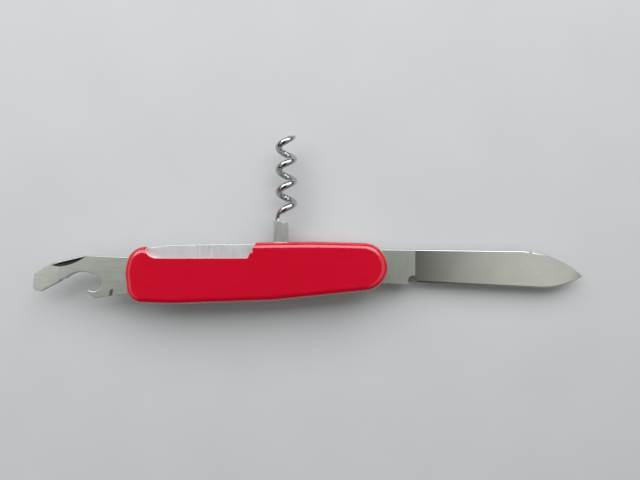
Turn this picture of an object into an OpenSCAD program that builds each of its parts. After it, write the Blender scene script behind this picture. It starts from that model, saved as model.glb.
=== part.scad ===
// Folding pocket knife: two layers of tools between plastic scales, opened on a flat surface.
// +X runs along the handle to the blade, +Y to its back, +Z up; the lower scale lies on z = 0.

/* [Handle] */
// Length of the handle
handle_l = 84; // [80:0.2:102]
// Width of the handle at its widest
handle_w = 20.15; // [18:0.05:24]
// Thickness of each plastic scale
scale_t = 2.9; // [2.4:0.1:4]
// Rounding of the scales' outer edges
edge_round = 2.3; // [1:0.1:2.3]
// Corner rounding at the back, at the opener's end
butt_round = 6; // [4:0.1:7]
// Corner rounding at the belly, at the opener's end
heel_round = 5.1; // [4:0.1:6]
// Rounding of the blade's end
nose_round = 7.8; // [6:0.1:8]
// Rise of the belly towards the blade's end
belly_rise = 1.1; // [0.6:0.1:2]

/* [Thumb notch] */
// Depth of the notch that bares the corkscrew
notch_depth = 5.3; // [3.5:0.1:6]
// Round end of the notch
notch_round = 4; // [2:0.1:4]
// Lean of the notch's other end from upright
notch_lean = 28; // [0:0.1:35]
// Length of the full-height handle at the opener's end
hump_l = 6.8; // [6.6:0.1:8.5]
// Extra length of the lower scale's notch, towards the opener
lower_notch_extra = 3.2; // [0:0.1:4]
// Distance from the notch to the corkscrew's pivot
notch_to_cork = 7.35; // [6:0.05:12]

/* [Layers] */
// Width of one layer of tools
layer_t = 3.45; // [2.8:0.05:4.5]
// Thickness of each metal liner
liner_t = 0.5; // [0.4:0.05:0.8]
// Set-back of liners and springs from the scales' outline
liner_inset = 0.6; // [0.4:0.1:1.2]
// Running gap on each side of a tang
side_gap = 0.05; // [0.03:0.01:0.1]

/* [Rivets] */
// Diameter of the rivets
pin_d = 2.5; // [2:0.1:3]
// Radial clearance of a tool on its rivet
pin_gap = 0.05; // [0.02:0.01:0.1]
// Distance from the handle's end to a tool's rivet
pin_inset = 5.1; // [4.6:0.1:6.2]
// Outer diameter of the collars on the rivets
collar_d = 5; // [4:0.1:6]
// Height of the collars
collar_h = 1.2; // [0.8:0.1:1.4]
// Clearance round a collar in its pocket
collar_gap = 0.05; // [0.02:0.01:0.1]
// Distance from the corkscrew's pivot to the centre rivet
centre_offset = 8.45; // [7:0.05:10]
// Depth of the centre rivet below the back
centre_depth = 4.3; // [3.8:0.1:5]

/* [Springs] */
// Depth of the springs' underside below the back, along the stored tools
spring_depth = 8.3; // [8:0.1:9.5]
// Gap between a spring and a tang
spring_gap = 0.05; // [0.03:0.01:0.1]
// Outer radius of the ring at a spring's tail
tail_r = 1.95; // [1.8:0.05:2.6]

/* [Blade] */
// Depth of the blade's rivet below the back
blade_pin_depth = 10.575; // [10:0.025:11.2]
// Radius of the blade's tang
blade_tang_r = 3.7; // [3.4:0.1:4]
// Thickness of the blade at its spine
blade_t = 2.6; // [2:0.1:2.8]
// Thickness of the grind at the edge, before the edge is sharpened
edge_t = 0.3; // [0.1:0.05:0.6]
// Angle of the sharpened edge on each side
bevel_angle = 18; // [12:1:25]
// Height of the spine above the rivet
spine_h = 8; // [7:0.1:8.5]
// Fall of the spine on its way to the clip
spine_fall = 0.6; // [0:0.01:1]
// Length of the clipped part of the spine
clip_l = 20.3; // [15:0.1:25]
// Radius of the clipped part of the spine
clip_r = 37; // [32:1:50]
// Depth of the belly below the rivet
belly_h = 5; // [4.5:0.1:5.5]
// Radius of the belly, up to the tip
belly_r = 24; // [18:0.5:26]
// Length of the curved belly
belly_l = 13.2; // [11:0.1:15]
// Distance from the rivet to the start of the grind
ricasso_l = 15; // [13:0.1:18]
// Depth of the ricasso below the rivet
ricasso_h = 3.75; // [3.5:0.05:4.1]
// Radius of the choil between ricasso and edge
choil_r = 1.7; // [1:0.1:2]
// Gap between the folded tip and the spring's tail ring
tip_gap = 0.55; // [0.4:0.05:3]

/* [Combination tool] */
// Depth of the opener's rivet below the back
opener_pin_depth = 12.925; // [12.4:0.025:13.4]
// Radius of the opener's tang
opener_tang_r = 3.9; // [3.6:0.1:4]
// Thickness of the opener
opener_t = 2.6; // [2:0.1:2.8]
// Distance from the rivet to the driver's end
opener_l = 36.2; // [32:0.1:38]
// Height of the opener's back above the rivet
opener_h = 7.85; // [7:0.05:8.5]
// Thickness of the driver's end
driver_t = 0.9; // [0.6:0.1:1.4]
// Width of the driver's end
driver_w = 5.4; // [4.5:0.1:6]
// Radius of the cap lifter's mouth at its root
mouth_r = 2.8; // [2:0.1:3]
// Radius of the cap lifter's arched lip
lip_r = 8.1; // [7:0.1:10]
// Radius of the wire notch
wire_notch_r = 0.95; // [0.6:0.05:1.2]

/* [Nail nicks] */
// Length of a nail nick
nick_l = 12.5; // [9:0.5:14]
// Depth of a nail nick
nick_depth = 0.6; // [0.3:0.05:0.8]
// Slope of a nail nick's floor
nick_slope = 30; // [20:1:45]

/* [Corkscrew] */
// Depth of the corkscrew's pivot below the back
cork_pin_depth = 3.9; // [3.7:0.1:4.5]
// Width of the shank
shank_w = 4.5; // [4:0.1:5]
// Thickness of the shank
shank_t = 5.4; // [4:0.1:6.4]
// Distance from the pivot to the shank's top
shank_l = 10.4; // [9:0.1:14]
// Wire diameter
wire_d = 2.15; // [1.6:0.05:2.3]
// Rise of one turn
coil_pitch = 7.3; // [6:0.1:9]
// Length over which the straight wire bends into the coil
coil_lead = 4.9; // [3:0.1:7]
// Times that the wire passes the coil's outer side
coil_passes = 4; // [3:1:4]
// Shift of the coil's axis from the shank's axis
coil_shift = 1.7; // [1:0.05:2]
// Gap between the coil and each liner when folded
coil_gap = 0.12; // [0.08:0.01:0.4]
// Gap between the folded point and the trough's end
point_gap = 3.3; // [1:0.1:6]

/* [Hidden] */
$fn = 64;

// Outline of the handle, a hull round these circles: x, y, radius
half_l = handle_l / 2;
half_w = handle_w / 2;
end_bow = 0.5;
butt_drop = 1.58;
heel_rise = 0.4;
nose_drop = 0.4;
back_round = 6;
back_x = -27;
back_drop = 0.6;
belly_x = 5;
heel_l = 15;
crown_x = 18;
corners = [
    [-half_l + end_bow + butt_round, half_w - butt_drop - butt_round, butt_round],
    [back_x, half_w - back_drop - back_round, back_round],
    [-half_l + butt_round, 0, butt_round],
    [-half_l + end_bow + heel_round, -half_w + heel_rise + heel_round, heel_round],
    [-half_l + heel_l, -half_w + back_round, back_round],
    [belly_x, -half_w + belly_rise + back_round, back_round],
    [half_l - nose_round, half_w - nose_drop - nose_round, nose_round],
    [crown_x, half_w - back_round, back_round]];
edge_steps = 7;

// Heights of the stack
inner_z = scale_t + liner_t;
inner_h = 2 * layer_t + liner_t;
upper_layer_z = inner_z + layer_t + liner_t;
total_t = inner_h + 2 * inner_z;
middle_z = total_t / 2;
tang_t = layer_t - 2 * side_gap;

// Pivots
blade_x = half_l - pin_inset;
blade_y = half_w - blade_pin_depth;
opener_x = -half_l + pin_inset;
opener_y = half_w - opener_pin_depth;
coil_top = shank_l + coil_lead / 2 + coil_pitch * (coil_passes - 0.5);
tip_turn = 95;
tip_rise = coil_pitch * tip_turn / 720;
cork_reach = coil_top + tip_rise;
trough_left = -half_l + hump_l;
cork_x = trough_left + point_gap + cork_reach;
cork_y = half_w - cork_pin_depth;
trough_right = cork_x + shank_w / 2 + 0.4;
centre_x = cork_x + centre_offset;
centre_y = half_w - centre_depth;

// Blade and opener, measured from their own rivets
blade_reach = blade_x - opener_x - tail_r - tip_gap;
clip_x = blade_reach - clip_l;
clip_h = spine_h - spine_fall;
belly_start = blade_reach - belly_l;
shoulder_l = 3;
heel_x = ricasso_l + 0.95;
heel_h = 3;
edge_slope = atan((belly_h - heel_h) / (belly_start - heel_x));
belly_c = [belly_start, belly_r - belly_h];
belly_a = asin(belly_l / belly_r);
grind_slope = (blade_t - edge_t) / 2 / (clip_h + belly_h);
grind_start = ricasso_l - 1;
edge_flat = 0.03;
bevel_max = 0.55;
clip_a = 84.5;
clip_c = [clip_x - clip_r * cos(clip_a), clip_h - clip_r * sin(clip_a)];
spring_under = half_w - spring_depth;
mouth_x = opener_l - 20;
lip_c = [opener_l - 16.4, 3.15 - lip_r];
step_x = opener_l - 9.1;
step_y = 0.45;
driver_foot = [opener_l - 3, -3.2];

// Coil of the corkscrew
wire_r = wire_d / 2;
coil_r = inner_h / 2 - coil_gap - wire_r;
trough_floor = cork_y - spring_gap - max(shank_w / 2, coil_r + wire_r - coil_shift);
wire_sides = 16;
coil_step = 12;
coil_rate = 360 / coil_pitch;
lead_turn = coil_rate * coil_lead / 2;
last_turn = 360 * coil_passes - 180;
point_turn = last_turn + tip_turn;
taper_start = last_turn - 100;
point_r = 0.12;

function arc(c, r, a0, a1, n) =
    [for (i = [0:n]) let (a = a0 + (a1 - a0) * i / n) [c[0] + r * cos(a), c[1] + r * sin(a)]];

// Radius of the wire at a turn angle: full, then tapering to the point
function wire_radius(a) = a < taper_start ? wire_r
    : wire_r + (point_r - wire_r) * (a - taper_start) / (point_turn - taper_start);

// Stations along the corkscrew's wire: height, turn angle, turn per millimetre, radius
lead_steps = 10;
coil_steps = round((last_turn - lead_turn) / coil_step);
tip_steps = 6;
wire_stations = concat(
    [[shank_l - 1.5, 0, 0, wire_r]],
    [for (i = [0:lead_steps]) let (y = coil_lead * i / lead_steps)
        [shank_l + y, coil_rate * y * y / (2 * coil_lead), coil_rate * y / coil_lead, wire_r]],
    [for (i = [1:coil_steps]) let (a = lead_turn + (last_turn - lead_turn) * i / coil_steps)
        [shank_l + coil_lead + (a - lead_turn) / coil_rate, a, coil_rate, wire_radius(a)]],
    [for (i = [1:tip_steps]) let (a = last_turn + tip_turn * i / tip_steps)
        [coil_top + tip_rise * i / tip_steps, a, 2 * coil_rate, wire_radius(a)]]);

// Ring of points round the wire at one station
function ring(s) = let (
        a = s[1],
        w = s[2] * PI / 180 * coil_r,
        out = [-cos(a), 0, sin(a)],
        along = [sin(a) * w, 1, cos(a) * w] / sqrt(w * w + 1),
        side = cross(along, out),
        c = [coil_shift, s[0], 0] + coil_r * out)
    [for (i = [0:wire_sides - 1]) let (b = 360 * i / wire_sides) c + s[3] * (cos(b) * out + sin(b) * side)];

// Solid that follows the handle's outline, set back by inset
module handle_plate(inset, h) {
    hull() for (c = corners) translate([c[0], c[1], 0]) cylinder(r = c[2] - inset, h = h);
}

// Straight hole or rod from z = 0
module rod(x, y, d, h) {
    translate([x, y, 0]) cylinder(d = d, h = h);
}

module notch_outline(extra) {
    floor_y = half_w - notch_depth;
    left = trough_left - 0.1 - extra;
    right = cork_x - notch_to_cork;
    corner_r = 0.8;
    lean = tan(notch_lean);
    corner_x = right - lean * (notch_depth - corner_r) - corner_r / cos(notch_lean);
    above = 3;
    polygon(concat(
        [[right + lean * above, half_w + above], [left, half_w + above]],
        arc([left + notch_round, floor_y + notch_round], notch_round, 180, 270, 10),
        arc([corner_x, floor_y + corner_r], corner_r, 270, 360 - notch_lean, 4)));
}

// Scale with its rounded outer face on z = 0 and the pockets for the collars on its inner face
module scale_shell(extra) {
    pocket_h = collar_h + 0.1;
    difference() {
        hull() for (c = corners) translate([c[0], c[1], 0]) {
            for (i = [0:edge_steps - 1]) {
                a0 = 90 * i / edge_steps;
                a1 = 90 * (i + 1) / edge_steps;
                z1 = edge_round * (1 - sin(a1));
                translate([0, 0, z1]) cylinder(
                    h = edge_round * (1 - sin(a0)) - z1,
                    r1 = c[2] - edge_round * (1 - cos(a1)),
                    r2 = c[2] - edge_round * (1 - cos(a0)));
            }
            translate([0, 0, edge_round]) cylinder(r = c[2], h = scale_t - edge_round);
        }
        translate([0, 0, -1]) linear_extrude(scale_t + 2) notch_outline(extra);
        translate([0, 0, scale_t - pocket_h])
            for (p = [[blade_x, blade_y], [opener_x, opener_y], [centre_x, centre_y]])
                rod(p[0], p[1], collar_d + 2 * collar_gap, pocket_h + 1);
    }
}

module scale_lower() {
    color("crimson") scale_shell(lower_notch_extra);
}

module scale_upper() {
    color("crimson") translate([0, 0, total_t]) mirror([0, 0, 1]) scale_shell(0);
}

module outer_liner(z) {
    color("gainsboro") translate([0, 0, z]) difference() {
        handle_plate(liner_inset, liner_t);
        translate([0, 0, -1]) {
            rod(blade_x, blade_y, pin_d, liner_t + 2);
            rod(opener_x, opener_y, pin_d, liner_t + 2);
            rod(centre_x, centre_y, pin_d, liner_t + 2);
            rod(cork_x, cork_y, pin_d, liner_t + 2);
        }
    }
}

module liner_lower() {
    outer_liner(scale_t);
}

module liner_upper() {
    outer_liner(total_t - inner_z);
}

module liner_middle() {
    color("gainsboro") translate([0, 0, inner_z + layer_t]) difference() {
        handle_plate(liner_inset, liner_t);
        translate([trough_left, trough_floor, -1])
            cube([trough_right - trough_left, handle_w, liner_t + 2]);
        translate([0, 0, -1]) {
            rod(blade_x, blade_y, pin_d, liner_t + 2);
            rod(opener_x, opener_y, pin_d, liner_t + 2);
            rod(centre_x, centre_y, pin_d, liner_t + 2);
        }
    }
}

// Spring bar cut from an outline, with a ring round the far rivet and a hole for the centre rivet
module spring_bar(tail_x, tail_y, outline) {
    difference() {
        union() {
            intersection() {
                linear_extrude(layer_t) polygon(outline);
                handle_plate(liner_inset, layer_t);
            }
            rod(tail_x, tail_y, 2 * tail_r, layer_t);
        }
        translate([0, 0, -1]) {
            rod(tail_x, tail_y, pin_d, layer_t + 2);
            rod(centre_x, centre_y, pin_d, layer_t + 2);
        }
    }
}

module blade_spring() {
    tang_y = blade_y + blade_tang_r + spring_gap;
    working_end = blade_x + shoulder_l - spring_gap;
    color("silver") translate([0, 0, inner_z]) spring_bar(opener_x, opener_y, [
        [working_end, half_w], [trough_right, half_w], [trough_right, trough_floor],
        [trough_left, trough_floor], [trough_left, half_w], [opener_x - tail_r, half_w],
        [opener_x - tail_r, opener_y], [opener_x + tail_r, opener_y], [opener_x + tail_r, spring_under],
        [blade_x - 18, spring_under], [blade_x - 13.4, tang_y - 0.65], [blade_x - 7, tang_y],
        [working_end, tang_y]]);
}

module opener_spring() {
    tang_y = opener_y + opener_tang_r + spring_gap;
    working_end = opener_x - shoulder_l + spring_gap;
    color("silver") translate([0, 0, upper_layer_z]) spring_bar(blade_x, blade_y, [
        [blade_x + tail_r, half_w], [trough_right, half_w], [trough_right, trough_floor],
        [trough_left, trough_floor], [trough_left, half_w], [working_end, half_w],
        [working_end, tang_y], [opener_x + 4, tang_y], [opener_x + 6, spring_under],
        [blade_x - tail_r - 4, spring_under], [blade_x - tail_r, blade_y], [blade_x + tail_r, blade_y]]);
}

// Rivet through the liners, its ends set in the collars
module collared_rivet(x, y) {
    color("goldenrod") translate([0, 0, scale_t - collar_h])
        rod(x, y, pin_d, inner_h + 2 * (liner_t + collar_h));
}

module blade_rivet() {
    collared_rivet(blade_x, blade_y);
}

module opener_rivet() {
    collared_rivet(opener_x, opener_y);
}

module centre_rivet() {
    collared_rivet(centre_x, centre_y);
}

module corkscrew_rivet() {
    color("silver") translate([0, 0, scale_t]) rod(cork_x, cork_y, pin_d, inner_h + 2 * liner_t);
}

module collar(x, y, z) {
    color("goldenrod") translate([0, 0, z]) difference() {
        rod(x, y, collar_d, collar_h);
        translate([0, 0, -1]) rod(x, y, pin_d, collar_h + 2);
    }
}

module blade_collar_lower() {
    collar(blade_x, blade_y, scale_t - collar_h);
}

module blade_collar_upper() {
    collar(blade_x, blade_y, total_t - scale_t);
}

module opener_collar_lower() {
    collar(opener_x, opener_y, scale_t - collar_h);
}

module opener_collar_upper() {
    collar(opener_x, opener_y, total_t - scale_t);
}

module centre_collar_lower() {
    collar(centre_x, centre_y, scale_t - collar_h);
}

module centre_collar_upper() {
    collar(centre_x, centre_y, total_t - scale_t);
}

// Cutter for a nail nick in a face on z = 0: a steep wall on the +Y side, a floor that rises to -Y
module nick_cutter() {
    r = (pow(nick_l / 2, 2) + pow(nick_depth, 2)) / (2 * nick_depth);
    translate([0, 0, -nick_depth]) rotate([90 - nick_slope, 0, 0])
        translate([0, r, 0]) cylinder(r = r, h = 5);
}

// Height of the spine above the rivet at x
function spine_y(x) = x < clip_x
    ? spine_h - spine_fall * (x - shoulder_l) / (clip_x - shoulder_l)
    : clip_c[1] + sqrt(pow(clip_r, 2) - pow(x - clip_c[0], 2));

// Half the ground thickness at a point: it grows with the distance from the straight edge's line
function grind_half(p) = min(blade_t / 2, edge_t / 2
    + grind_slope * ((p[0] - heel_x) * sin(edge_slope) + (p[1] + heel_h) * cos(edge_slope)));

// Stations along the edge: a point on the edge and the direction from it into the blade
straight_x = [grind_start, heel_x + 8, heel_x + 20, clip_x - 8, clip_x, clip_x + 2.5];
edge_stations = concat(
    [for (x = straight_x)
        [[x, -heel_h - (x - heel_x) * tan(edge_slope)], [sin(edge_slope), cos(edge_slope)]]],
    [for (a = [270 - edge_slope:3:268 + belly_a]) [belly_c + belly_r * [cos(a), sin(a)], -[cos(a), sin(a)]]],
    [for (a = [270 + belly_a - 0.6]) [belly_c + belly_r * [cos(a), sin(a)], -[cos(a), sin(a)]]]);

// Section of the ground blade at a station: edge, shoulder of the sharpened bevel, spine, on both faces
function blade_section(st) = let (
        e = st[0],
        room = max(spine_y(e[0]) - e[1], 0.1),
        bevel_w = (grind_half(e) - edge_flat) / (tan(bevel_angle) - grind_slope),
        w = min(bevel_w, bevel_max, 0.7 * room),
        b = e + w * st[1],
        b_half = edge_flat + w * tan(bevel_angle),
        t = [e[0], e[1] + room],
        t_half = max(b_half, min(grind_half(t), edge_flat + room * tan(bevel_angle))))
    [[e[0], e[1], -edge_flat], [b[0], b[1], -b_half], [t[0], t[1], -t_half],
        [t[0], t[1], t_half], [b[0], b[1], b_half], [e[0], e[1], edge_flat]];

// Closed skin over a row of sections that all have n points
module skin(sections, n) {
    last = len(sections) - 1;
    polyhedron(
        points = [for (s = sections) each s],
        faces = concat(
            [[for (i = [0:n - 1]) i]],
            [[for (i = [n - 1:-1:0]) last * n + i]],
            [for (j = [0:last - 1], i = [0:n - 1]) let (k = (i + 1) % n) each [
                [j * n + i, (j + 1) * n + i, (j + 1) * n + k], [j * n + i, (j + 1) * n + k, j * n + k]]]));
}

// Flat stock from the tang to the start of the grind
module ricasso_outline() {
    polygon([[shoulder_l, spine_h], [ricasso_l, spine_y(ricasso_l)],
        [ricasso_l, -ricasso_h], [shoulder_l + 3, -ricasso_h + 0.45],
        [0, -blade_tang_r], [0, 0], [shoulder_l, 0]]);
}

module main_blade() {
    nick_x = ricasso_l + 17;
    nick_y = clip_h - 1.6;
    nick_face = edge_t / 2 + grind_slope * (nick_y + heel_h);
    color("silver") translate([blade_x, blade_y, inner_z + layer_t / 2]) difference() {
        union() {
            translate([0, 0, -tang_t / 2]) cylinder(r = blade_tang_r, h = tang_t);
            difference() {
                union() {
                    translate([0, 0, -blade_t / 2]) linear_extrude(blade_t) ricasso_outline();
                    skin([for (st = edge_stations) blade_section(st)], 6);
                }
                translate([heel_x - choil_r + 0.05, -ricasso_h + 1.35, -blade_t])
                    cylinder(r = choil_r, h = 2 * blade_t);
            }
        }
        translate([0, 0, -tang_t]) cylinder(d = pin_d + 2 * pin_gap, h = 2 * tang_t);
        mirror([0, 0, 1]) translate([nick_x, nick_y, nick_face]) nick_cutter();
    }
}

// Opener seen from above with its tip towards +X; the opener itself points to -X
module opener_outline() {
    back_end = opener_l - 18;
    driver_y = 2.4;
    corner_r = 1.3;
    polygon(concat(
        [[shoulder_l, opener_h - 0.05], [back_end, opener_h + 0.5], [back_end + 1.5, opener_h + 0.4],
            [opener_l - 6.2, opener_h - 1.9], [opener_l - 0.5, driver_y]],
        arc([opener_l - corner_r, driver_y - driver_w + corner_r], corner_r, 0, -95, 6),
        [driver_foot, [step_x, step_y - 0.35], [step_x, step_y]],
        arc(lip_c, lip_r, 48, 112, 12),
        arc([mouth_x, -0.4], mouth_r, 100, 283, 16),
        [[mouth_x + 2, -2.77], [mouth_x + 1.4, -3.93]],
        arc([mouth_x - 0.9, -3.5], 1.9, -35, -98, 5),
        [[shoulder_l + 1.5, -opener_tang_r], [0, -opener_tang_r], [0, 0], [shoulder_l, 0]]));
}

module combination_tool() {
    wire_x = 10;
    wire_y = -3.3;
    taper_x = opener_l - 9;
    color("silver") translate([opener_x, opener_y, upper_layer_z + layer_t / 2]) mirror([1, 0, 0])
        difference() {
            union() {
                translate([0, 0, -tang_t / 2]) cylinder(r = opener_tang_r, h = tang_t);
                difference() {
                    translate([0, 0, -opener_t / 2]) linear_extrude(opener_t) opener_outline();
                    translate([wire_x, wire_y, -opener_t]) {
                        cylinder(r = wire_notch_r, h = 2 * opener_t);
                        translate([-wire_notch_r, -5, 0]) cube([2 * wire_notch_r, 5, 2 * opener_t]);
                    }
                    translate([0, 10, 0]) rotate([90, 0, 0]) linear_extrude(20) for (s = [-1, 1])
                        polygon([[taper_x, s * opener_t / 2], [opener_l + 1, s * driver_t / 2],
                            [opener_l + 1, s * opener_t], [taper_x, s * opener_t]]);
                }
            }
            translate([0, 0, -tang_t]) cylinder(d = pin_d + 2 * pin_gap, h = 2 * tang_t);
            translate([opener_l - 11.3, opener_h - 1.6, opener_t / 2]) rotate([0, 0, -13.5]) nick_cutter();
        }
}

module corkscrew() {
    barrel_h = inner_h - 2 * side_gap;
    scoop_r = 1.6;
    color("silver") translate([cork_x, cork_y, middle_z]) difference() {
        union() {
            translate([0, 0, -barrel_h / 2]) cylinder(d = shank_w, h = barrel_h);
            translate([0, 0, -shank_t / 2]) linear_extrude(shank_t)
                polygon([[-shank_w / 2, 0], [shank_w / 2, 0], [shank_w / 2, shank_l - 0.1],
                    [-shank_w / 2, shank_l + 0.3]]);
            skin([for (s = wire_stations) ring(s)], wire_sides);
        }
        translate([1.15, shank_l + scoop_r - 0.4, -shank_t]) cylinder(r = scoop_r, h = 2 * shank_t);
        translate([0, 0, -barrel_h]) cylinder(d = pin_d + 2 * pin_gap, h = 2 * barrel_h);
    }
}

scale_lower();
scale_upper();
liner_lower();
liner_middle();
liner_upper();
blade_spring();
opener_spring();
blade_rivet();
opener_rivet();
centre_rivet();
corkscrew_rivet();
blade_collar_lower();
blade_collar_upper();
opener_collar_lower();
opener_collar_upper();
centre_collar_lower();
centre_collar_upper();
main_blade();
combination_tool();
corkscrew();
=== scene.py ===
"""Folding pocket knife with its three tools out: finishes, broken edges, light and camera."""

import logging
import math
from abc import ABC, abstractmethod
from collections.abc import Callable
from dataclasses import dataclass, field
from enum import Enum

import bmesh
import bpy
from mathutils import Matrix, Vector


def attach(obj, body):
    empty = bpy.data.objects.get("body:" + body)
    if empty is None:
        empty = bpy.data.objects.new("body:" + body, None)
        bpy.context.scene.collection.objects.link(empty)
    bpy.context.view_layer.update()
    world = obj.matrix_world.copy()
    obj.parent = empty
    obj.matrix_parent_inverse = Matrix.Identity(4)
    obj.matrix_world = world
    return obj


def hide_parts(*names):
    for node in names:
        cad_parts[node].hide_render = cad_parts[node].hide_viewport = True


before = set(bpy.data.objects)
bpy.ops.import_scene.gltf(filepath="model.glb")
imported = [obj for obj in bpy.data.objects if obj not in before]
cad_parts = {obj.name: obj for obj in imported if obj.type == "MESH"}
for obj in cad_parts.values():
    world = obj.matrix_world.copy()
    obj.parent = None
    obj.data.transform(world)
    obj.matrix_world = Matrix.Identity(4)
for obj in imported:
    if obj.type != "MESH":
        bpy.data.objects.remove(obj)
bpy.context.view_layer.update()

MM = 0.001
WELD = 1e-7
FLAT_DEG = 0.3
ROOM = 1.2
LOG = logging.getLogger("pocket_knife")

Colour = tuple[float, float, float, float]
Sockets = dict[str | int, object]


def linear(code: str) -> Colour:
    """Turns an sRGB hex colour into a linear one.

    Args:
        code: Six hex digits after a #.

    Returns:
        Red, green, blue and an alpha of 1.
    """
    parts = [int(code[i : i + 2], 16) / 255 for i in (1, 3, 5)]
    r, g, b = (p / 12.92 if p <= 0.04045 else ((p + 0.055) / 1.055) ** 2.4 for p in parts)
    return r, g, b, 1.0


def per_mm(size: float) -> float:
    """Gives the texture scale at which a pattern's features are size millimetres wide."""
    return 1 / (size * MM)


def add(
    tree: bpy.types.NodeTree,
    kind: str,
    sockets: Sockets | None = None,
    **settings: object,
) -> bpy.types.Node:
    """Adds a node with its settings, its constants and its links.

    Args:
        tree: The node tree that gets the node.
        kind: The node's type name.
        sockets: For each input, by name or number, a constant or an output to link to it.
        **settings: Properties of the node itself.

    Returns:
        The new node.
    """
    node = tree.nodes.new(kind)
    for name, value in settings.items():
        setattr(node, name, value)
    for key, value in (sockets or {}).items():
        if isinstance(value, bpy.types.NodeSocket):
            tree.links.new(value, node.inputs[key])
        else:
            node.inputs[key].default_value = value
    return node


class Grain(Enum):
    """Axis of the row that a metal's brush strokes follow."""

    ALONG_X = 0
    ALONG_Y = 1
    ALONG_Z = 2


@dataclass(frozen=True)
class Finish(ABC):
    """A surface finish, which builds one material."""

    title: str

    def start(self) -> tuple[bpy.types.Material, bpy.types.NodeTree, bpy.types.Node, bpy.types.NodeSocket]:
        """Makes an empty material.

        Returns:
            The material, its node tree, its shader and the object's coordinates in metres.
        """
        material = bpy.data.materials.new(self.title)
        material.use_nodes = True
        tree = material.node_tree
        shader = tree.nodes["Principled BSDF"]
        place = add(tree, "ShaderNodeTexCoord").outputs["Object"]
        return material, tree, shader, place

    @abstractmethod
    def build(self) -> bpy.types.Material:
        """Builds the material."""


@dataclass(frozen=True)
class PolishedButyrate(Finish):
    """Cellulose acetate butyrate, injection moulded and tumble polished.

    It gives the eye a deep red under a wet gloss, with faint ripples, the hair scratches of a
    pocket and a few pale nicks.
    """

    title: str = "polished_butyrate"
    light: str = "#CB0029"
    dark: str = "#BC0020"
    nick: str = "#E2687A"
    ior: float = 1.48
    mottle: float = 9.0
    ripple: float = 3.5
    ripple_depth: float = 0.02
    scratch_w: float = 0.3
    scratch_l: float = 11.0
    nick_gap: float = 6.0
    smooth: float = 0.1
    rough: float = 0.22
    skin_rough: float = 0.08
    skin_ior: float = 1.5

    def build(self) -> bpy.types.Material:
        """Builds the material.

        Returns:
            The red plastic.
        """
        material, tree, shader, place = self.start()
        mottle = add(
            tree,
            "ShaderNodeTexNoise",
            {"Vector": place, "Scale": per_mm(self.mottle), "Detail": 3.0},
        )
        red = add(
            tree,
            "ShaderNodeMix",
            {"Factor": mottle.outputs["Fac"], "A": linear(self.dark), "B": linear(self.light)},
            data_type="RGBA",
        )
        cells = add(tree, "ShaderNodeTexVoronoi", {"Vector": place, "Scale": per_mm(self.nick_gap)})
        spots = add(
            tree,
            "ShaderNodeMapRange",
            {"Value": cells.outputs["Distance"], "From Min": 0.05, "From Max": 0.02, "To Max": 0.5},
        )
        worn = add(
            tree,
            "ShaderNodeMix",
            {"Factor": spots.outputs["Result"], "A": red.outputs["Result"], "B": linear(self.nick)},
            data_type="RGBA",
        )
        # Pocket scratches are hundredths of a millimetre wide; drawn at 0.3 mm they still show
        along = add(
            tree,
            "ShaderNodeMapping",
            {"Vector": place, "Rotation": (0.0, 0.0, 0.12)},
        )
        along.inputs["Scale"].default_value = (
            per_mm(self.scratch_l),
            per_mm(self.scratch_w),
            per_mm(self.scratch_w),
        )
        scratch = add(tree, "ShaderNodeTexNoise", {"Vector": along.outputs["Vector"], "Scale": 1.0})
        gloss = add(
            tree,
            "ShaderNodeMapRange",
            {"Value": scratch.outputs["Fac"], "From Min": 0.35, "From Max": 0.75}
            | {"To Min": self.smooth, "To Max": self.rough},
        )
        swell = add(tree, "ShaderNodeTexNoise", {"Vector": place, "Scale": per_mm(self.ripple)})
        bump = add(
            tree,
            "ShaderNodeBump",
            {"Height": swell.outputs["Fac"], "Strength": 1.0, "Distance": self.ripple_depth * MM},
        )
        tree.links.new(worn.outputs["Result"], shader.inputs["Base Color"])
        tree.links.new(gloss.outputs["Result"], shader.inputs["Roughness"])
        tree.links.new(bump.outputs["Normal"], shader.inputs["Normal"])
        shader.inputs["IOR"].default_value = self.ior
        # Buffing leaves a dense skin that adds to the shine
        shader.inputs["Coat Weight"].default_value = 1.0
        shader.inputs["Coat Roughness"].default_value = self.skin_rough
        shader.inputs["Coat IOR"].default_value = self.skin_ior
        return material


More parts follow.
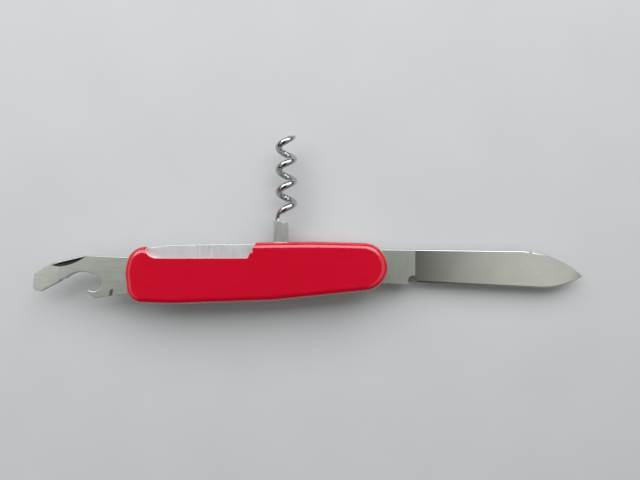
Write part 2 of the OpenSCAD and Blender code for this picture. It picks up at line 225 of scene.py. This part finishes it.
@dataclass(frozen=True)
class BrushedMetal(Finish):
    """A metal ground or brushed in one direction.

    It gives the eye fine parallel strokes, a shade lighter and darker than each other, that
    draw highlights out across the grain.
    """

    light: str
    dark: str
    grain: Grain
    stroke_w: float = 0.3
    stroke_l: float = 6.0
    cloud: float = 5.0
    smooth: float = 0.3
    rough: float = 0.45
    depth: float = 0.004

    def build(self) -> bpy.types.Material:
        """Builds the material.

        Returns:
            The brushed metal.
        """
        material, tree, shader, place = self.start()
        # Real strokes are about 0.05 mm wide, and drawn several times coarser so that they show
        scale = [per_mm(self.stroke_w)] * 3
        scale[self.grain.value] = per_mm(self.stroke_l)
        along = add(tree, "ShaderNodeMapping", {"Vector": place, "Scale": scale})
        strokes = add(
            tree,
            "ShaderNodeTexNoise",
            {"Vector": along.outputs["Vector"], "Scale": 1.0, "Detail": 4.0, "Roughness": 0.65},
        )
        clouds = add(
            tree,
            "ShaderNodeTexNoise",
            {"Vector": place, "Scale": per_mm(self.cloud), "Detail": 2.0},
        )
        blend = add(
            tree,
            "ShaderNodeMix",
            {"Factor": 0.25, "A": strokes.outputs["Fac"], "B": clouds.outputs["Fac"]},
        )
        spread = add(
            tree,
            "ShaderNodeMapRange",
            {"Value": blend.outputs["Result"], "From Min": 0.3, "From Max": 0.7},
        )
        tone = add(
            tree,
            "ShaderNodeMix",
            {"Factor": spread.outputs["Result"], "A": linear(self.dark), "B": linear(self.light)},
            data_type="RGBA",
        )
        gloss = add(
            tree,
            "ShaderNodeMapRange",
            {"Value": strokes.outputs["Fac"], "From Min": 0.3, "From Max": 0.7}
            | {"To Min": self.rough, "To Max": self.smooth},
        )
        bump = add(
            tree,
            "ShaderNodeBump",
            {"Height": strokes.outputs["Fac"], "Strength": 0.6, "Distance": self.depth * MM},
        )
        tree.links.new(tone.outputs["Result"], shader.inputs["Base Color"])
        tree.links.new(gloss.outputs["Result"], shader.inputs["Roughness"])
        tree.links.new(bump.outputs["Normal"], shader.inputs["Normal"])
        shader.inputs["Metallic"].default_value = 1.0
        return material


@dataclass(frozen=True)
class PolishedSteel(Finish):
    """Hardened stainless steel, glazed to a mirror and then carried for years.

    It gives the eye a clear, slightly warm grey reflection with hair scratches that cross at a
    shallow angle and a soft haze where it was wiped.
    """

    light: str
    dark: str
    haze: float = 8.0
    scratch_w: float = 0.25
    scratch_l: float = 14.0
    lean: float = 0.5
    smooth: float = 0.06
    rough: float = 0.16

    def build(self) -> bpy.types.Material:
        """Builds the material.

        Returns:
            The polished steel.
        """
        material, tree, shader, place = self.start()
        haze = add(tree, "ShaderNodeTexNoise", {"Vector": place, "Scale": per_mm(self.haze), "Detail": 2.0})
        # Hair scratches are drawn ten times wider than real so that they show
        hairs = []
        for lean in (self.lean, -0.6 * self.lean):
            along = add(
                tree,
                "ShaderNodeMapping",
                {"Vector": place, "Rotation": (0.0, 0.0, lean)}
                | {"Scale": (per_mm(self.scratch_l), per_mm(self.scratch_w), per_mm(self.scratch_w))},
            )
            hair = add(tree, "ShaderNodeTexNoise", {"Vector": along.outputs["Vector"], "Scale": 1.0})
            hairs.append(
                add(
                    tree,
                    "ShaderNodeMapRange",
                    {"Value": hair.outputs["Fac"], "From Min": 0.62, "From Max": 0.8},
                )
            )
        worn = add(
            tree,
            "ShaderNodeMath",
            {0: hairs[0].outputs["Result"], 1: hairs[1].outputs["Result"]},
            operation="MAXIMUM",
        )
        wiped = add(
            tree,
            "ShaderNodeMapRange",
            {"Value": haze.outputs["Fac"], "From Min": 0.4, "From Max": 0.7, "To Max": 0.5},
        )
        total = add(
            tree,
            "ShaderNodeMath",
            {0: worn.outputs["Value"], 1: wiped.outputs["Result"]},
            operation="ADD",
            use_clamp=True,
        )
        tone = add(
            tree,
            "ShaderNodeMix",
            {"Factor": total.outputs["Value"], "A": linear(self.dark), "B": linear(self.light)},
            data_type="RGBA",
        )
        gloss = add(
            tree,
            "ShaderNodeMapRange",
            {"Value": total.outputs["Value"], "To Min": self.smooth, "To Max": self.rough},
        )
        tree.links.new(tone.outputs["Result"], shader.inputs["Base Color"])
        tree.links.new(gloss.outputs["Result"], shader.inputs["Roughness"])
        shader.inputs["Metallic"].default_value = 1.0
        return material


def everywhere(edge: bmesh.types.BMEdge) -> bool:
    """Takes in every edge."""
    return True


def middle(edge: bmesh.types.BMEdge) -> Vector:
    """Gives an edge's middle in millimetres."""
    return (edge.verts[0].co + edge.verts[1].co) / 2 / MM


def width(face: bmesh.types.BMFace) -> float:
    """Gives a face's rough width in metres: a triangle's is its height."""
    share = 2 if len(face.edges) == 3 else 1
    return share * face.calc_area() / max(edge.calc_length() for edge in face.edges)


@dataclass(frozen=True)
class Forging:
    """One pass that breaks a piece's sharp edges.

    Args:
        edge: Width of the broken edges in millimetres.
        sharp: Angle in degrees above which an edge is broken.
        rings: Number of faces across a broken edge.
        where: Says whether an edge is in this pass.
    """

    edge: float
    sharp: float = 25.0
    rings: int = 2
    where: Callable[[bmesh.types.BMEdge], bool] = everywhere

    def work(self, bm: bmesh.types.BMesh, breaks: Callable[[bmesh.types.BMEdge], bool]) -> None:
        """Breaks the sharp outer edges, apart from those beside slivers.

        Args:
            bm: The mesh to work on.
            breaks: Says whether the piece lets an edge be broken.
        """
        limit = math.radians(self.sharp)
        room = ROOM * self.edge * MM
        sharp = [
            e
            for e in bm.edges
            if e.is_convex
            and e.calc_face_angle(0.0) > limit
            and min(width(face) for face in e.link_faces) > room
            and self.where(e)
            and breaks(e)
        ]
        bmesh.ops.bevel(
            bm,
            geom=sharp,
            offset=self.edge * MM,
            offset_type="OFFSET",
            segments=self.rings,
            profile=0.5,
            affect="EDGES",
            clamp_overlap=False,
        )


@dataclass
class SubAssembly:
    """Pieces of the knife that ride on one body and share a maker's steps.

    Args:
        body: The moving body that the pieces ride on.
        slot: Not used.
        nodes: The CAD nodes that the pieces stand for.
        forgings: The passes that break the edges, in order.
        finishes: The finishes, by the number that zone() gives.
        crease_angle: Angle in degrees above which an edge between broad faces is a crease.
        crease_area: Area in square millimetres above which a face is broad.
        crease_always: Angle in degrees above which any edge is a crease.
        shortest: Length in millimetres of the shortest edge that is kept.
    """

    body: str
    slot: str
    nodes: list[str]
    forgings: list[Forging]
    finishes: list[Finish]
    crease_angle: float = 30.0
    crease_area: float = 4.0
    crease_always: float = 55.0
    shortest: float = 0.001
    materials: list[bpy.types.Material] = field(default_factory=list)

    def dress(self) -> None:
        """Builds the finishes."""
        self.materials = [finish.build() for finish in self.finishes]

    def breaks(self, edge: bmesh.types.BMEdge) -> bool:
        """Says whether an edge may be broken."""
        return True

    def zone(self, centre: Vector, normal: Vector) -> int:
        """Says which finish a face takes."""
        return 0

    def build(self) -> list[bpy.types.Object]:
        """Builds every piece.

        Returns:
            The new pieces, each riding on the body in place of its CAD solid.
        """
        self.dress()
        return [self.piece(node) for node in self.nodes]

    def mesh(self, node: str) -> bmesh.types.BMesh:
        """Copies a CAD solid, welds it and works its edges.

        Args:
            node: The CAD node.

        Returns:
            The new mesh, in the row's frame.
        """
        bm = bmesh.new()
        bm.from_mesh(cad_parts[node].data)
        bmesh.ops.remove_doubles(bm, verts=bm.verts, dist=WELD)
        flat = math.radians(FLAT_DEG)
        bmesh.ops.dissolve_limit(bm, angle_limit=flat, verts=bm.verts, edges=bm.edges)
        bmesh.ops.dissolve_degenerate(bm, dist=self.shortest * MM, edges=bm.edges)
        for forging in self.forgings:
            forging.work(bm, self.breaks)
        bm.normal_update()
        crease, always = math.radians(self.crease_angle), math.radians(self.crease_always)
        area = self.crease_area * MM * MM
        for edge in bm.edges:
            broad = all(face.calc_area() > area for face in edge.link_faces)
            edge.smooth = edge.calc_face_angle(0.0) < (crease if broad else always)
        return bm

    def piece(self, node: str) -> bpy.types.Object:
        """Builds one piece.

        Args:
            node: The CAD node that it stands for.

        Returns:
            The new piece.
        """
        bm = self.mesh(node)
        for face in bm.faces:
            face.smooth = True
            face.material_index = self.zone(face.calc_center_median() / MM, face.normal)
        mesh = bpy.data.meshes.new(f"{node}_finished")
        bm.to_mesh(mesh)
        bm.free()
        for layer in [a for a in mesh.attributes if a.name == "custom_normal"]:
            mesh.attributes.remove(layer)
        for material in self.materials:
            mesh.materials.append(material)
        thing = bpy.data.objects.new(f"{node}_finished", mesh)
        bpy.context.scene.collection.objects.link(thing)
        shade = thing.modifiers.new("even_shading", "WEIGHTED_NORMAL")
        shade.keep_sharp = True
        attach(thing, self.body)
        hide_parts(node)
        LOG.info("%s: %d faces on %s", thing.name, len(mesh.polygons), self.body)
        return thing


@dataclass
class Scales(SubAssembly):
    """The two red scales, whose thumb notches have softly rounded rims."""

    rim: float = 0.8
    rim_x: tuple[float, float] = (-36.5, 1.5)
    rim_y: float = 4.0
    rim_z: tuple[float, float] = (1.2, 13.0)

    def __post_init__(self) -> None:
        """Puts the pass that rounds the notch's rim before the others."""
        self.forgings = [Forging(self.rim, sharp=35, rings=4, where=self.on_rim), *self.forgings]

    def on_rim(self, edge: bmesh.types.BMEdge) -> bool:
        """Takes in the notch's rim on the outer face."""
        place = middle(edge)
        low, high = self.rim_z
        outer = place.z < low or place.z > high
        return outer and self.rim_x[0] < place.x < self.rim_x[1] and place.y > self.rim_y


@dataclass
class MainBlade(SubAssembly):
    """The main blade, satin up to the plunge line and polished beyond it."""

    plunge_x: float = 51.9
    back_tilt: float = 0.5

    def breaks(self, edge: bmesh.types.BMEdge) -> bool:
        """Takes in only the edges of the back, beside a face that looks away from the cutting edge."""
        return any(face.normal.y > self.back_tilt for face in edge.link_faces)

    def zone(self, centre: Vector, normal: Vector) -> int:
        """Gives 1 on the polished grind, which starts at the plunge line, and 0 elsewhere."""
        return int(centre.x > self.plunge_x)


@dataclass
class CombinationTool(SubAssembly):
    """The cap lifter with its driver tip, satin on its faces, with painted shade in its nail nick: a
    near-black steel stands for the shade in the hollow.
    """

    nick_x: tuple[float, float] = (-69.5, -55.5)
    nick_y: float = 2.0
    nick_z: float = 9.2
    nick_tilt: tuple[float, float] = (0.3, 0.93)

    def breaks(self, edge: bmesh.types.BMEdge) -> bool:
        """Leaves the nail nick's rim crisp."""
        return not any(self.zone(face.calc_center_median() / MM, face.normal) for face in edge.link_faces)

    def zone(self, centre: Vector, normal: Vector) -> int:
        """Gives 1 in the nail nick, which takes the painted shade, and 0 elsewhere."""
        near = self.nick_x[0] < centre.x < self.nick_x[1] and centre.y > self.nick_y
        low, high = self.nick_tilt
        return int(near and centre.z > self.nick_z and low < normal.z < high)


@dataclass
class Corkscrew(SubAssembly):
    """The corkscrew, with a satin shank and a bright wire."""

    shank_end_y: float = 16.2

    def zone(self, centre: Vector, normal: Vector) -> int:
        """Gives 1 on the wire, which stands beyond the shank, and 0 on the shank and barrel."""
        return int(centre.y > self.shank_end_y)


@dataclass(frozen=True)
class Studio:
    """A pale floor under a soft daylight window, with a dim ceiling and the camera above."""

    floor_span: float = 4.0
    floor_light: str = "#C4C5C6"
    floor_dark: str = "#BCBDBE"
    zenith: str = "#484846"
    ceiling: str = "#E2E3DF"
    walls: str = "#303030"
    camera_place: tuple[float, float, float] = (20.3, 10.56, 166.0)
    lens: float = 27.06
    window_size: tuple[float, float] = (1200.0, 560.0)
    window_place: tuple[float, float, float] = (-40.0, 420.0, 460.0)
    window_power: float = 6.8

    def floor(self) -> bpy.types.Object:
        """Lays the floor.

        Returns:
            The floor, a smooth matt board with a trace of tone.
        """
        bm = bmesh.new()
        bmesh.ops.create_grid(bm, x_segments=8, y_segments=8, size=self.floor_span / 2)
        mesh = bpy.data.meshes.new("floor")
        bm.to_mesh(mesh)
        bm.free()
        thing = bpy.data.objects.new("floor", mesh)
        material = bpy.data.materials.new("matt_board")
        material.use_nodes = True
        tree = material.node_tree
        shader = tree.nodes["Principled BSDF"]
        place = add(tree, "ShaderNodeTexCoord").outputs["Object"]
        tone = add(tree, "ShaderNodeTexNoise", {"Vector": place, "Scale": per_mm(30.0), "Detail": 5.0})
        colour = add(
            tree,
            "ShaderNodeMix",
            {"Factor": tone.outputs["Fac"], "A": linear(self.floor_dark), "B": linear(self.floor_light)},
            data_type="RGBA",
        )
        tree.links.new(colour.outputs["Result"], shader.inputs["Base Color"])
        shader.inputs["Roughness"].default_value = 0.85
        mesh.materials.append(material)
        bpy.context.scene.collection.objects.link(thing)
        return thing

    def room(self) -> bpy.types.World:
        """Gives the room's own light: dim straight up and low down, paler to the sides.

        Returns:
            The world.
        """
        world = bpy.data.worlds.new("room")
        world.use_nodes = True
        tree = world.node_tree
        tree.nodes.clear()
        place = add(tree, "ShaderNodeTexCoord").outputs["Generated"]
        axes = add(tree, "ShaderNodeSeparateXYZ", {"Vector": place})
        right, left = (
            add(
                tree,
                "ShaderNodeMapRange",
                {"Value": axes.outputs["X"], "From Min": start, "From Max": end},
                interpolation_type="SMOOTHSTEP",
            )
            for start, end in ((0.12, 0.4), (-0.36, -0.6))
        )
        side = add(
            tree,
            "ShaderNodeMath",
            {0: right.outputs["Result"], 1: left.outputs["Result"]},
            operation="MAXIMUM",
        )
        high = add(
            tree,
            "ShaderNodeMapRange",
            {"Value": axes.outputs["Z"], "From Min": 0.2, "From Max": 0.55},
            interpolation_type="SMOOTHSTEP",
        )
        near = add(
            tree,
            "ShaderNodeMapRange",
            {"Value": axes.outputs["Y"], "From Min": -0.75, "From Max": -0.15, "To Min": 0.25},
            interpolation_type="SMOOTHSTEP",
        )
        upper = add(
            tree,
            "ShaderNodeMath",
            {0: high.outputs["Result"], 1: near.outputs["Result"]},
            operation="MULTIPLY",
        )
        ceiling = add(
            tree,
            "ShaderNodeMix",
            {"Factor": side.outputs["Value"], "A": linear(self.zenith), "B": linear(self.ceiling)},
            data_type="RGBA",
        )
        colour = add(
            tree,
            "ShaderNodeMix",
            {"Factor": upper.outputs["Value"], "A": linear(self.walls), "B": ceiling.outputs["Result"]},
            data_type="RGBA",
        )
        glow = add(tree, "ShaderNodeBackground", {"Color": colour.outputs["Result"], "Strength": 1.0})
        add(tree, "ShaderNodeOutputWorld", {"Surface": glow.outputs["Background"]})
        bpy.context.scene.world = world
        return world

    def window(self) -> bpy.types.Object:
        """Hangs the window, a wide soft light on the far side of the knife.

        Returns:
            The light.
        """
        light = bpy.data.lights.new("window", "AREA")
        light.shape = "RECTANGLE"
        light.size, light.size_y = (side * MM for side in self.window_size)
        light.energy = self.window_power
        light.color = linear("#FAFCFF")[:3]
        thing = bpy.data.objects.new("window", light)
        thing.location = Vector(self.window_place) * MM
        thing.rotation_euler = (-thing.location).to_track_quat("-Z", "Y").to_euler()
        thing.visible_camera = False
        bpy.context.scene.collection.objects.link(thing)
        return thing

    def camera(self) -> bpy.types.Object:
        """Sets the camera above the knife, looking straight down.

        Returns:
            The camera.
        """
        lens = bpy.data.cameras.new("camera")
        lens.lens = self.lens
        lens.clip_start = 10 * MM
        thing = bpy.data.objects.new("camera", lens)
        thing.location = Vector(self.camera_place) * MM
        bpy.context.scene.collection.objects.link(thing)
        bpy.context.scene.camera = thing
        return thing

    def build(self) -> None:
        """Builds the floor, the light and the camera, with true colours on screen."""
        bpy.context.scene.view_settings.view_transform = "Standard"
        for make in (self.floor, self.room, self.window, self.camera):
            LOG.info("studio: %s", make().name)


def knife() -> list[SubAssembly]:
    """Lists the knife's sub-assemblies in the order they are put together.

    Returns:
        The sub-assemblies.
    """
    satin = BrushedMetal("satin_steel", "#C9CBC4", "#A9ABA5", Grain.ALONG_Y)
    return [
        Scales(
            "handle",
            "red_scale",
            ["scale_lower", "scale_upper"],
            [Forging(edge=0.15, sharp=40)],
            [PolishedButyrate()],
        ),
        SubAssembly(
            "handle",
            "liner",
            ["liner_lower", "liner_middle", "liner_upper"],
            [Forging(edge=0.1)],
            [BrushedMetal("brushed_aluminium", "#F4F6F7", "#D2D6D8", Grain.ALONG_Y, smooth=0.35, rough=0.5)],
        ),
        SubAssembly(
            "handle",
            "spring",
            ["blade_spring", "opener_spring"],
            [Forging(edge=0.12)],
            [BrushedMetal("ground_spring_steel", "#C4C6C2", "#A0A29E", Grain.ALONG_X)],
        ),
        SubAssembly(
            "handle",
            "rivet",
            [
                "blade_rivet",
                "opener_rivet",
                "centre_rivet",
                "blade_collar_lower",
                "blade_collar_upper",
                "opener_collar_lower",
                "opener_collar_upper",
                "centre_collar_lower",
                "centre_collar_upper",
            ],
            [Forging(edge=0.12)],
            [BrushedMetal("turned_brass", "#E6CB8A", "#C9A95F", Grain.ALONG_Z, stroke_l=0.3)],
        ),
        SubAssembly(
            "handle",
            "steel_pin",
            ["corkscrew_rivet"],
            [Forging(edge=0.12)],
            [BrushedMetal("drawn_steel", "#C6C8C6", "#A6A8A6", Grain.ALONG_Z)],
        ),
        MainBlade(
            "blade",
            "blade",
            ["main_blade"],
            [Forging(edge=0.28, sharp=30, rings=3)],
            [satin, PolishedSteel("mirror_steel", "#D6D7D1", "#C8C9C3")],
            crease_angle=9.0,
            crease_area=0.3,
        ),
        CombinationTool(
            "opener",
            "tool",
            ["combination_tool"],
            [Forging(edge=0.22, sharp=40, rings=3)],
            [
                BrushedMetal("satin_tool_steel", "#D4D6CE", "#BABCB5", Grain.ALONG_X),
                # Painted shade: the nail nick takes a near-black steel that stands for the shade in its
                # hollow, not a different metal
                BrushedMetal("nick_painted_shade_steel", "#3A3B3A", "#262726", Grain.ALONG_X, smooth=0.5, rough=0.7),
            ],
            crease_angle=2.0,
            crease_area=20.0,
            shortest=0.13,
        ),
        Corkscrew(
            "corkscrew",
            "corkscrew",
            ["corkscrew"],
            [Forging(edge=0.1, sharp=50)],
            [
                BrushedMetal("satin_shank_steel", "#CFD2CC", "#B4B7B1", Grain.ALONG_Y),
                PolishedSteel("bright_drawn_steel", "#C6C8C8", "#B2B4B4", smooth=0.1, rough=0.22, haze=1.2),
            ],
        ),
    ]


def main() -> None:
    """Builds the studio and the knife."""
    logging.basicConfig(level=logging.INFO, format="%(name)s: %(message)s")
    Studio().build()
    for part in knife():
        part.build()


if __name__ == "__main__":
    main()
